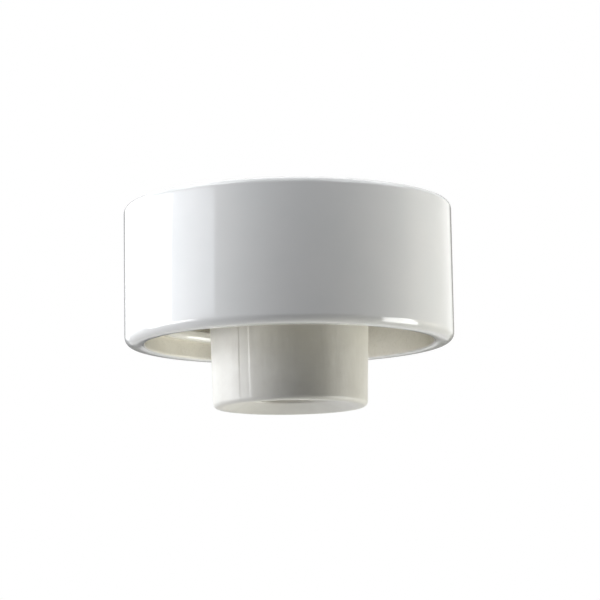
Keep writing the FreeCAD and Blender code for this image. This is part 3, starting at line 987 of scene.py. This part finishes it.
# %% Turn the grommet
grommet_low, grommet_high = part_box("cable_grommet")
inner_end, outer_end = grommet_low[1], grommet_high[1]
inner_lip_end = inner_end + 1.6 * mm
cable_hole = 3.3 * mm
inner_lip_radius = 5.9 * mm
neck_radius = 4.9 * mm
outer_lip_radius = 6.1 * mm
grommet = new_piece("rubber_cable_grommet", laid_back(turned([
    (cable_hole, inner_end, 0.3 * mm),
    (inner_lip_radius, inner_end, 0.7 * mm),
    (inner_lip_radius, inner_lip_end, 0.1 * mm),
    (neck_radius, inner_lip_end, 0),
    (neck_radius, entry_seat, 0),
    (outer_lip_radius, entry_seat, 0.1 * mm),
    (outer_lip_radius, outer_end, 0.6 * mm),
    (cable_hole, outer_end, 0.4 * mm),
], steps=96), entry_level))

# %% [markdown]
# ## Where every piece belongs
# Each dressed piece stands for its solid, rides on that solid's body and names its finish. Only the
# plunger moves: the lamp's tip pushes it up by two millimetres, and the spring has to shorten with
# it. Here the plunger rides on a body of its own, and the spring only gets a mesh of its own.

# %% Tie the pieces to the imported model
pieces = {
    "base_body": (base, "glazed_porcelain"),
    "socket_body": (socket, "satin_porcelain"),
    "screw_shell": (shell, "nickel_plate"),
    "shell_screws": (shell_screws, "zinc_steel"),
    "shell_washers": (shell_washers, "spring_steel"),
    "shell_nuts": (shell_nuts, "zinc_steel"),
    "centre_contact": (plunger, "brass"),
    "contact_spring": (spring, "spring_steel"),
    "contact_cup": (cup, "brass"),
    "line_strap": (line_strap, "brass"),
    "neutral_strap": (neutral_strap, "brass"),
    "strap_rivets": (rivets, "brass"),
    "clamp_plates": (clamp_plates, "nickel_plate"),
    "terminal_screws": (terminal_screws, "brass"),
    "socket_screws": (socket_screws, "zinc_steel"),
    "socket_screw_washers": (socket_washers, "vulcanised_fibre"),
    "socket_nuts": (socket_nuts, "zinc_steel"),
    "socket_gasket": (socket_gasket, "vulcanised_fibre"),
    "globe_gasket": (globe_gasket, "silicone_rubber"),
    "cable_grommet": (grommet, "silicone_rubber"),
}
for solid, (piece, slot_name) in pieces.items():
    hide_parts(solid)
    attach(piece, "plunger" if solid == "centre_contact" else "holder")
    print(solid, "is shown by", piece.name)

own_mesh(spring)

# %% [markdown]
# ## Finishes
# Every finish is built from noise in the object's own coordinates, in metres, so it keeps its real
# scale. The helpers below keep each recipe short: a shader with its plain values, a noise, a mix of
# two colours and a bump whose height is a real height.

# %% Make a material and its nodes
def new_finish(name, colour, roughness, metallic=0.0):
    """A material with a Principled shader and its plain values."""
    material = bpy.data.materials.new(name)
    material.use_nodes = True
    shader = material.node_tree.nodes["Principled BSDF"]
    shader.inputs["Base Color"].default_value = (*colour, 1)
    shader.inputs["Roughness"].default_value = roughness
    shader.inputs["Metallic"].default_value = metallic
    return material.node_tree, shader, material


def node(tree, kind, settings=None, **sockets):
    """A shader node with its settings, its numbers set and its links made."""
    made = tree.nodes.new("ShaderNode" + kind)
    for name, value in (settings or {}).items():
        setattr(made, name, value)
    for name, value in sockets.items():
        key = int(name[1:]) if name[0] == "i" and name[1:].isdigit() else name.replace("_", " ")
        if isinstance(value, bpy.types.NodeSocket):
            tree.links.new(value, made.inputs[key])
        else:
            made.inputs[key].default_value = value
    return made


def drive(tree, shader, **sockets):
    """Links values to the shader's sockets."""
    for name, value in sockets.items():
        tree.links.new(value, shader.inputs[name.replace("_", " ")])


# %% Read a place on the piece
def place_on(tree):
    """Object coordinates."""
    return node(tree, "TexCoord").outputs["Object"]


def split_place(tree, place):
    """The three parts of a place, and how far it lies from the axis."""
    parts = node(tree, "SeparateXYZ", Vector=place).outputs
    flat = node(tree, "CombineXYZ", X=parts["X"], Y=parts["Y"]).outputs[0]
    radius = node(tree, "VectorMath", {"operation": "LENGTH"}, i0=flat).outputs["Value"]
    return parts, radius


def speckle(tree, place, size, detail=3.0, rough=0.6, stretch=None):
    """Noise whose features are about this large, in metres."""
    if stretch:
        place = node(tree, "Mapping", {"vector_type": "POINT"}, Vector=place, Scale=stretch).outputs[0]
    noise = node(tree, "TexNoise", Vector=place, Scale=1 / size, Detail=detail, Roughness=rough)
    return noise.outputs["Fac"]


print("a speckle of 1 mm has a noise scale of", round(1 / mm))


# %% Mix values and colours
def between(tree, value, low, high, to_low=0.0, to_high=1.0):
    """Maps a value from one range to another and stops at its ends."""
    return node(tree, "MapRange", Value=value, From_Min=low, From_Max=high, To_Min=to_low,
                To_Max=to_high).outputs["Result"]


def dots(tree, place, apart, edge, core):
    """Small round dots about this far apart, in metres."""
    cells = node(tree, "TexVoronoi", Vector=place, Scale=1 / apart, Randomness=1.0)
    return between(tree, cells.outputs["Distance"], edge, core)


def math_node(tree, operation, first, second=0.0):
    """One arithmetic step."""
    return node(tree, "Math", {"operation": operation}, i0=first, i1=second).outputs[0]


def times(tree, first, second):
    """Two values multiplied."""
    return math_node(tree, "MULTIPLY", first, second)


def blend(tree, share, first, second):
    """Mixes two colours."""
    made = node(tree, "Mix", {"data_type": "RGBA"}, i0=share)
    for index, colour in ((6, first), (7, second)):
        if isinstance(colour, bpy.types.NodeSocket):
            tree.links.new(colour, made.inputs[index])
        else:
            made.inputs[index].default_value = (*colour, 1)
    return made.outputs[2]


def bump(tree, height, distance, under=None):
    """A bump of this real height, on top of another one if it is given."""
    made = node(tree, "Bump", Height=height, Distance=distance, Strength=1.0)
    if under is not None:
        tree.links.new(under, made.inputs["Normal"])
    return made.outputs["Normal"]


# %% [markdown]
# ## Glaze
# The outside is dipped in a clear glossy glaze over white porcelain. Inside the pocket the glaze is
# thin, so the body shows warmer and duller there, but the thread's crest is well covered. Both
# places are told apart by the distance from the axis and by the level, because a glaze follows the
# form of its piece.

# %% Mix the white glaze and the thin glaze of the pocket
tree, shader, glaze = new_finish("white_glaze", (0.88, 0.88, 0.87), 0.04)
shader.inputs["IOR"].default_value = 1.52
place = place_on(tree)
parts, radius = split_place(tree, place)
level = parts["Z"]
clouds = speckle(tree, place, 0.02, 2.0)
white = blend(tree, between(tree, clouds, 0.35, 0.65), (0.875, 0.88, 0.87), (0.90, 0.897, 0.885))

wall_side = between(tree, radius, pocket_radius + 0.45 * mm, pocket_radius + 0.05 * mm)
below_deck = between(tree, level, deck_low + 0.4 * mm, deck_low)
inside = times(tree, wall_side, below_deck)
covered = between(tree, radius, pocket_radius - 1.4 * mm, pocket_radius - 2.2 * mm)
thin = times(tree, inside, math_node(tree, "SUBTRACT", 1.0, covered))
body_patches = between(tree, speckle(tree, place, 0.006, 4.0), 0.3, 0.7)
body_tone = blend(tree, body_patches, (0.745, 0.715, 0.63), (0.80, 0.77, 0.69))
fine_dirt = between(tree, speckle(tree, place, 0.0009, 4.0, 0.7), 0.52, 0.68, 0.0, 0.3)
body_tone = blend(tree, fine_dirt, body_tone, (0.56, 0.53, 0.45))
colour = blend(tree, inside, white, (0.91, 0.90, 0.85))
colour = blend(tree, thin, colour, body_tone)
print("glaze nodes", len(tree.nodes))

# %% [markdown]
# ## Raw porcelain and small faults
# The ceiling face is wiped clean before firing and stays raw, and the wiring chamber is raw as
# well. Real glaze has a faint orange peel, a few pinholes and rare iron specks. They are far too
# small to model, so they are dots in the colour and fine bumps, and only the raw and the thin
# places are dull.

# %% Leave the raw places and set the gloss
raw_top = between(tree, level, -0.25 * mm, -0.1 * mm)
chamber_side = between(tree, radius, chamber_radius + 0.5 * mm, chamber_radius + 0.1 * mm)
above_deck = between(tree, level, deck_top - 0.6 * mm, deck_top - 0.2 * mm)
raw = math_node(tree, "MAXIMUM", raw_top, times(tree, chamber_side, above_deck))
raw_patches = between(tree, speckle(tree, place, 0.004, 5.0), 0.35, 0.65)
raw_tone = blend(tree, raw_patches, (0.80, 0.785, 0.74), (0.86, 0.85, 0.81))
colour = blend(tree, raw, colour, raw_tone)

rare = between(tree, speckle(tree, place, 0.011, 1.0), 0.62, 0.66)
iron = times(tree, dots(tree, place, 3.5 * mm, 0.035, 0.02), rare)
colour = blend(tree, times(tree, iron, 0.55), colour, (0.42, 0.33, 0.24))

dull = math_node(tree, "MAXIMUM", times(tree, thin, 0.85), raw)
gloss = between(tree, dull, 0.0, 1.0, 0.05, 0.62)
gloss = math_node(tree, "ADD", gloss, between(tree, clouds, 0.3, 0.7, 0.0, 0.03))
skin = bump(tree, speckle(tree, place, 0.0045, 1.5), 0.000012)
pores = dots(tree, place, 2.2 * mm, 0.06, 0.0)
skin = bump(tree, times(tree, pores, rare), -0.00003, skin)
grain = speckle(tree, place, 0.0006, 4.0)
skin = bump(tree, times(tree, grain, dull), 0.0001, skin)
drive(tree, shader, Base_Color=colour, Roughness=gloss, Normal=skin)
print("glaze nodes with its faults", len(tree.nodes))

# %% [markdown]
# ## Satin porcelain
# The socket is fired without a glaze. Its skin is a fine grain that scatters light softly, and the
# die leaves faint upright drag marks. The mould's parting line shows as two fine upright lines,
# which are the two edges of a shallow step in the bump, on both sides of the socket.

# %% Mix the satin porcelain
tree, shader, satin = new_finish("satin_porcelain", (0.86, 0.85, 0.82), 0.36)
shader.inputs["IOR"].default_value = 1.5
shader.inputs["Specular IOR Level"].default_value = 0.3
place = place_on(tree)
parts, radius = split_place(tree, place)
tone = between(tree, speckle(tree, place, 0.005, 4.0), 0.3, 0.7)
colour = blend(tree, tone, (0.82, 0.80, 0.75), (0.87, 0.855, 0.805))
fine = speckle(tree, place, 0.00035, 3.0, 0.7)
drags = speckle(tree, place, 0.0011, 2.0, 0.5, (1.0, 1.0, 0.02))
speck = dots(tree, place, 4.0 * mm, 0.03, 0.015)
colour = blend(tree, times(tree, speck, 0.35), colour, (0.45, 0.38, 0.30))

seam_turn = math.radians(-124.9)
across = math_node(tree, "ADD", times(tree, parts["X"], -math.sin(seam_turn)),
                   times(tree, parts["Y"], math.cos(seam_turn)))
seam = between(tree, math_node(tree, "ABSOLUTE", across), 1.55 * mm, 2.05 * mm)
seam = times(tree, seam, between(tree, radius, 20.5 * mm, 21.0 * mm))
uneven = between(tree, speckle(tree, place, 0.004, 2.0, 0.5, (1.0, 1.0, 0.3)), 0.3, 0.7, 0.5, 1.2)
fading = between(tree, parts["Z"], -60 * mm, -42 * mm, 0.4, 1.2)
seam = times(tree, seam, times(tree, uneven, fading))

skin = bump(tree, fine, 0.000014)
skin = bump(tree, drags, 0.00002, skin)
skin = bump(tree, seam, 0.00016, skin)
drive(tree, shader, Base_Color=colour, Normal=skin,
      Roughness=between(tree, fine, 0.3, 0.7, 0.32, 0.46))
print("satin nodes", len(tree.nodes))

# %% [markdown]
# ## Metals
# The metals differ by how they were worked. Rolled and drawn sheet shows fine lines along the
# drawing, plating is smooth with a few dull clouds, and brass darkens a little in patches. A turned
# or drawn part's lines run round it, so their noise is read from the level and the radius alone.

# %% Mix the metals
line_size = 0.00012
grain_size = 0.0003


def metal(name, light, dark, roughness, cloud, line_height, tarnish=None):
    """A metal with cloudy dullness, working lines and, if asked, a tarnish colour in patches."""
    tree, shader, material = new_finish(name, light, roughness, 1.0)
    place = place_on(tree)
    parts, radius = split_place(tree, place)
    patches = speckle(tree, place, cloud, 4.0)
    colour = blend(tree, between(tree, patches, 0.35, 0.7), light, dark)
    if tarnish:
        deep = between(tree, speckle(tree, place, cloud * 0.4, 5.0, 0.7), 0.58, 0.74)
        colour = blend(tree, times(tree, deep, 0.5), colour, tarnish)
    round_place = node(tree, "CombineXYZ", X=radius, Z=parts["Z"]).outputs[0]
    normal = bump(tree, speckle(tree, round_place, line_size, 2.0), line_height)
    normal = bump(tree, speckle(tree, place, grain_size), line_height * 0.6, normal)
    drive(tree, shader, Base_Color=colour, Normal=normal,
          Roughness=between(tree, patches, 0.3, 0.7, roughness * 0.8, roughness * 1.35))
    return material


nickel = metal("nickel_plate", light=(0.74, 0.71, 0.66), dark=(0.62, 0.59, 0.54),
               roughness=0.22, cloud=0.006, line_height=0.000003)
zinc = metal("zinc_plate", light=(0.70, 0.72, 0.74), dark=(0.60, 0.61, 0.60),
             roughness=0.34, cloud=0.002, line_height=0.000004, tarnish=(0.55, 0.54, 0.46))
steel = metal("spring_steel", light=(0.52, 0.52, 0.53), dark=(0.40, 0.40, 0.42),
              roughness=0.30, cloud=0.003, line_height=0.000003, tarnish=(0.30, 0.26, 0.22))
brass = metal("bare_brass", light=(0.82, 0.64, 0.33), dark=(0.70, 0.52, 0.25),
              roughness=0.27, cloud=0.004, line_height=0.000004, tarnish=(0.42, 0.28, 0.13))
print("metals", [material.name for material in (nickel, zinc, steel, brass)])

# %% [markdown]
# ## Fibre and rubber
# Vulcanised fibre is pressed from layers of paper, so it shows short fibres and thin layers at its
# edge: one noise is stretched along a fibre, and the other is flattened into layers. The rubber is
# pale and matt, with a bloom of fine dust.

# %% Mix the fibre
tree, shader, fibre = new_finish("vulcanised_fibre", (0.40, 0.20, 0.14), 0.55)
place = place_on(tree)
strands = speckle(tree, place, 0.0008, 5.0, 0.7, (1.0, 0.25, 1.0))
layers = speckle(tree, place, 0.0004, 2.0, 0.5, (0.05, 0.05, 1.0))
colour = blend(tree, between(tree, strands, 0.35, 0.65), (0.33, 0.15, 0.10), (0.50, 0.27, 0.19))
colour = blend(tree, between(tree, layers, 0.5, 0.7, 0.0, 0.35), colour, (0.24, 0.11, 0.08))
drive(tree, shader, Base_Color=colour, Normal=bump(tree, strands, 0.00003),
      Roughness=between(tree, strands, 0.3, 0.7, 0.48, 0.68))
print("fibre nodes", len(tree.nodes))

# %% Mix the rubber
tree, shader, rubber = new_finish("silicone_rubber", (0.76, 0.76, 0.73), 0.5)
place = place_on(tree)
bloom = speckle(tree, place, 0.002, 5.0, 0.65)
colour = blend(tree, between(tree, bloom, 0.4, 0.7), (0.70, 0.70, 0.67), (0.80, 0.80, 0.78))
drive(tree, shader, Base_Color=colour, Normal=bump(tree, speckle(tree, place, 0.0003), 0.00002),
      Roughness=between(tree, bloom, 0.3, 0.7, 0.42, 0.65))
print("rubber nodes", len(tree.nodes))

# %% [markdown]
# ## Finish the pieces
# Every piece already names the slot that it belongs to, so the coats can be given out in one loop.

# %% Give every piece its finish
coats = {
    "glazed_porcelain": glaze,
    "satin_porcelain": satin,
    "nickel_plate": nickel,
    "zinc_steel": zinc,
    "spring_steel": steel,
    "brass": brass,
    "vulcanised_fibre": fibre,
    "silicone_rubber": rubber,
}
for piece, slot_name in pieces.values():
    piece.data.materials.clear()
    piece.data.materials.append(coats[slot_name])
print("finishes", len(coats))

# %% [markdown]
# ## Camera
# The camera's place, direction and focal length were fitted to the outlines in the photograph: it
# stands about three quarters of a metre in front, a little below the rim, and looks slightly up.
# The focal length was found in pixels of the photograph, so it is turned into millimetres here.

# %% Set up the camera
sensor_width = 36
photo_width = 600
focal_length_pixels = 2522.7
eye = Vector((-0.01 * mm, -759.63 * mm, -142.11 * mm))
pitch, yaw, roll = 0.1482, 0.0045, -0.0165

camera_data = bpy.data.cameras.new("camera")
camera_data.sensor_width = sensor_width
camera_data.lens = focal_length_pixels * sensor_width / photo_width
camera_data.clip_start = 0.01
camera = bpy.data.objects.new("camera", camera_data)
bpy.context.scene.collection.objects.link(camera)
forward = Vector((math.sin(yaw) * math.cos(pitch), math.cos(yaw) * math.cos(pitch), math.sin(pitch)))
level_right = Vector((math.cos(yaw), -math.sin(yaw), 0))
level_up = level_right.cross(forward)
right = level_right * math.cos(roll) + level_up * math.sin(roll)
up = level_up * math.cos(roll) - level_right * math.sin(roll)
facing = Matrix((right, up, -forward)).transposed().to_4x4()
camera.matrix_world = Matrix.Translation(eye) @ facing
bpy.context.scene.camera = camera
print("focal length", round(camera_data.lens, 1), "mm")

# %% [markdown]
# ## Light
# The glaze works as a mirror, so the lights are placed where their reflections lie in the
# photograph. On the left a dimmer and a brighter panel stand side by side, and the dimmer one's
# end is the crisp upright edge on the drum. Lower and higher panels on both sides light the rim,
# the pocket and the socket. Two are special: the low panel on the right isn't seen in reflections,
# because the glaze shows none there, and the turned window is seen in reflections alone. No panel
# stands in front, which leaves the middle of the drum grey.

# %% Make a soft panel
focus = Vector((0, 0, -30 * mm))


def soft_panel(name, azimuth, elevation, width, height, level, colour=(1, 1, 1), distance=1.2,
               spin=0):
    """A panel that faces the object. Azimuth 0 is the camera's side and grows to the left."""
    around, over = math.radians(azimuth), math.radians(elevation)
    flat = math.cos(over)
    away = Vector((-math.sin(around) * flat, -math.cos(around) * flat, math.sin(over)))
    data = bpy.data.lights.new(name, "AREA")
    data.shape = "RECTANGLE"
    data.size, data.size_y = width, height
    data.energy = level * math.pi * width * height
    data.color = colour
    lamp = bpy.data.objects.new(name, data)
    lamp.location = focus + away * distance
    turned_panel = away.to_track_quat("Z", "Y") @ Quaternion((0, 0, 1), math.radians(spin))
    lamp.rotation_euler = turned_panel.to_euler()
    lamp.visible_camera = False
    bpy.context.scene.collection.objects.link(lamp)
    return lamp


# %% Place the panels: azimuth, elevation, width, height, level and colour
soft_panel("panel_left", 69.4, 10, 0.80, 0.3, 2.8, (0.88, 0.92, 1.0))
soft_panel("panel_left_wide", 103, 10, 0.70, 0.3, 5.5, (0.93, 0.96, 1.0))
soft_panel("panel_left_low", 90, -9, 1.0, 0.35, 8.4, (0.97, 0.98, 1.0))
soft_panel("panel_left_high", 68, 48, 0.8, 0.5, 3.8, (0.96, 0.98, 1.0))
soft_panel("panel_left_back", 133, 8, 1.4, 0.8, 0.6, (0.95, 0.98, 1.0), distance=1.25)
soft_panel("panel_right_side", -98, 12, 0.45, 0.6, 0.27, (1.0, 0.95, 0.85))
soft_panel("panel_right_level", -104, -10, 0.9, 0.35, 1.6, (1.0, 0.94, 0.78))
right_low = soft_panel("panel_right_low", -108, -30, 0.9, 0.5, 6.2, (1.0, 1.0, 0.9))
right_low.visible_glossy = False
soft_panel("panel_right_high", -70, 45, 1.2, 0.6, 2.8, (0.94, 0.96, 1.0))
soft_panel("strip_right", -148, 8, 0.45, 0.5, 0.25)
window = soft_panel("window_right", -89, -27, 0.58, 1.0, 9.0, spin=33)
window.visible_diffuse = False
soft_panel("panel_rim", 0, -62, 1.6, 0.3, 1.0)
soft_panel("panel_top", 0, 89, 1.2, 1.2, 0.45, distance=0.6)
soft_panel("strip_top", 180, 72, 1.6, 0.35, 2.0)
print("panels", len(bpy.data.lights))

# %% [markdown]
# ## Room
# The photograph has a plain white ground. The room is white only for rays that the eye follows,
# straight, mirrored or through glass, and nearly black for the light that falls on the object, so
# the white ground doesn't wash the shading out.

# %% Set the room
def seen(tree):
    """One for rays that the eye follows, and nought for the others."""
    rays = node(tree, "LightPath").outputs
    direct = math_node(tree, "MAXIMUM", rays["Is Camera Ray"], rays["Is Glossy Ray"])
    return math_node(tree, "MAXIMUM", direct, rays["Is Transmission Ray"])


world = bpy.data.worlds.new("room")
bpy.context.scene.world = world
world.use_nodes = True
tree = world.node_tree
background = tree.nodes["Background"]
tree.links.new(blend(tree, seen(tree), (0.03, 0.03, 0.03), (1, 1, 1)), background.inputs["Color"])
background.inputs["Strength"].default_value = 1.0
bpy.context.scene.view_settings.view_transform = "Standard"
print("room", world.name, "with", len(tree.nodes), "nodes")

# %% [markdown]
# ## Floor
# A pale floor lies a metre below and is only seen from above. It glows a little for the eye, so
# that it stays pale far from the panels, and it is darker for the light that it throws back, which
# keeps the underside from filling up.

# %% Lay the floor
floor_reach = 6
floor_level = -1.0
floor_glow = 0.8
bm = bmesh.new()
bmesh.ops.create_grid(bm, x_segments=1, y_segments=1, size=floor_reach)
shift(bm, 0, 0, floor_level)
floor = new_piece("floor", bm)
tree, shader, floor_paint = new_finish("pale_floor", (0.86, 0.86, 0.86), 0.8)
eye_rays = seen(tree)
drive(tree, shader, Base_Color=blend(tree, eye_rays, (0.30, 0.30, 0.30), (0.86, 0.86, 0.86)),
      Emission_Strength=times(tree, eye_rays, floor_glow))
shader.inputs["Emission Color"].default_value = (1, 1, 1, 1)
floor.data.materials.append(floor_paint)

# %% [markdown]
# ## Grey card
# A glossy drum mirrors what stands behind it at its two sides. A dim grey card behind the object
# darkens those silhouettes, as studio photographers do it. It is hidden from the camera and throws
# no shadow, so only the glaze shows it.

# %% Stand the card behind the object
card_width = 0.8
card_height = 0.6
card_distance = 1.0
card_level = 0.12
card_tone = (0.1, 0.1, 0.1)
bm = bmesh.new()
bmesh.ops.create_grid(bm, x_segments=1, y_segments=1, size=0.5)
bmesh.ops.scale(bm, verts=bm.verts, vec=(card_width, card_height, 1))
rotate(bm, tau / 4, "X")
shift(bm, 0, card_distance, card_level)
card = new_piece("grey_card", bm)
tree, shader, card_paint = new_finish("grey_card", (0.02, 0.02, 0.02), 1.0)
shader.inputs["Emission Color"].default_value = (*card_tone, 1)
shader.inputs["Emission Strength"].default_value = 1.0
card.data.materials.append(card_paint)
card.visible_camera = False
card.visible_diffuse = False
card.visible_shadow = False
